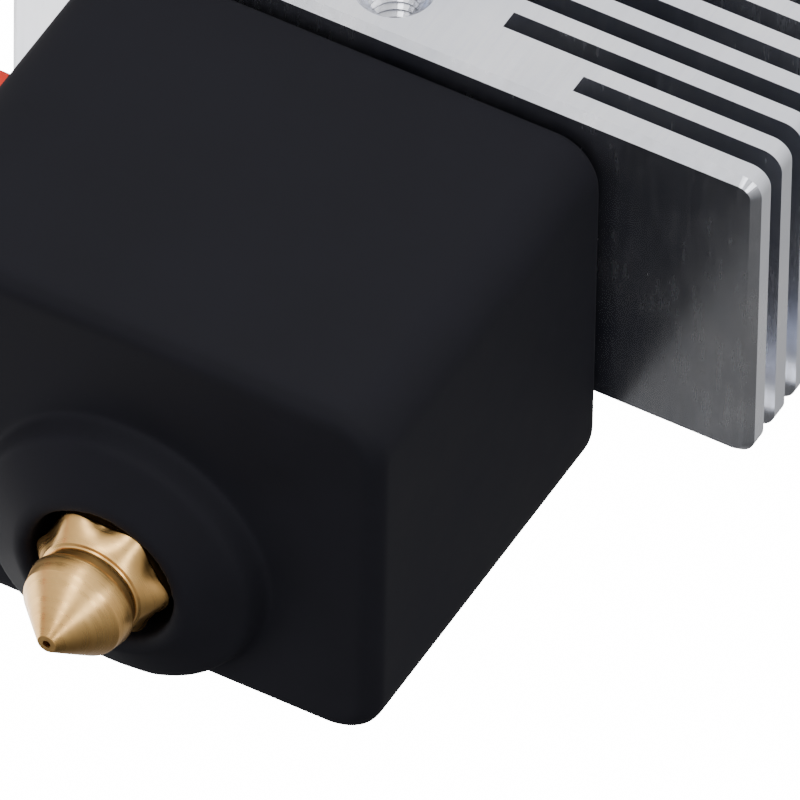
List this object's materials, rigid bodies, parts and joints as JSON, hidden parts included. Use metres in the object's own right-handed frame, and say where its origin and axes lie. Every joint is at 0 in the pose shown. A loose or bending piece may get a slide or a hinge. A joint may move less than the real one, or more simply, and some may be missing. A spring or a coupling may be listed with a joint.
{
  "type": "hotend assembly",
  "caption": "Filament printer hotend: finned heatsink, heat break, heater block with cartridges, brass nozzle and black silicone sock.",
  "frame": {"origin": "on the filament axis at the heatsink's top face, midway between its two threaded mounting holes", "axes": "+Z along the filament axis away from the nozzle, -Y out of the front face that has the set screw's hole, +X to the right as seen from the front"},
  "size_m": [0.0548, 0.0214, 0.1313],
  "materials": {
    "heatsink": "milled and deburred, fine cutter marks",
    "break_sleeve": "drawn copper, satin",
    "break_tube": "turned titanium, satin",
    "black_steel": "black oxide",
    "collet_seat": "turned, satin",
    "collet": "moulded",
    "collet_teeth": "stamped spring steel",
    "heater_block": "milled, plated",
    "heater_sheath": "drawn stainless tube",
    "heater_core": "fired, matte",
    "heater_coil": "resistance wire winding",
    "heater_seal": "cement, matte",
    "heater_lead": "silicone insulation, satin",
    "lead_plug": "moulded nylon",
    "lead_contacts": "tinned",
    "sensor_sheath": "drawn stainless tube",
    "sensor_bead": "glass bead",
    "sensor_seal": "cement, matte",
    "nozzle": "turned and polished",
    "silicone_sock": "moulded silicone, satin"
  },
  "bodies": {
    "body": {"heatsink": "heatsink", "break_sleeve": "break_sleeve", "break_tube": "break_tube", "sink_screw": "black_steel", "collet_seat": "collet_seat", "heater_block": "heater_block", "heater_screw": "black_steel", "sensor_screw": "black_steel"},
    "collet": {"collet": "collet", "collet_teeth": "collet_teeth"},
    "heater": {"heater_sheath": "heater_sheath", "heater_core": "heater_core", "heater_coil": "heater_coil", "heater_seal": "heater_seal", "heater_lead": "heater_lead", "lead_plug": "lead_plug", "lead_contacts": "lead_contacts"},
    "sensor": {"sensor_sheath": "sensor_sheath", "sensor_bead": "sensor_bead", "sensor_seal": "sensor_seal"},
    "nozzle": {"nozzle": "nozzle"},
    "sock": {"silicone_sock": "silicone_sock"}
  },
  "joints": [
    {"name": "sock_pull", "type": "slide", "parent": "body", "child": "sock", "axis": [0, 0, -1], "range_m": [0, 0.028]},
    {"name": "nozzle_unscrew", "type": "hinge", "parent": "body", "child": "nozzle", "pos_m": [0, 0, 0], "axis": [0, 0, -1], "range_deg": [0, 2520]},
    {"name": "heater_pull", "type": "slide", "parent": "body", "child": "heater", "axis": [-1, 0, 0], "range_m": [0, 0.022]},
    {"name": "sensor_pull", "type": "slide", "parent": "body", "child": "sensor", "axis": [-1, 0, 0], "range_m": [0, 0.016]},
    {"name": "collet_press", "type": "slide", "parent": "body", "child": "collet", "axis": [0, 0, -1], "range_m": [0, 0.0008], "stiffness_N_per_m": 400}
  ]
}
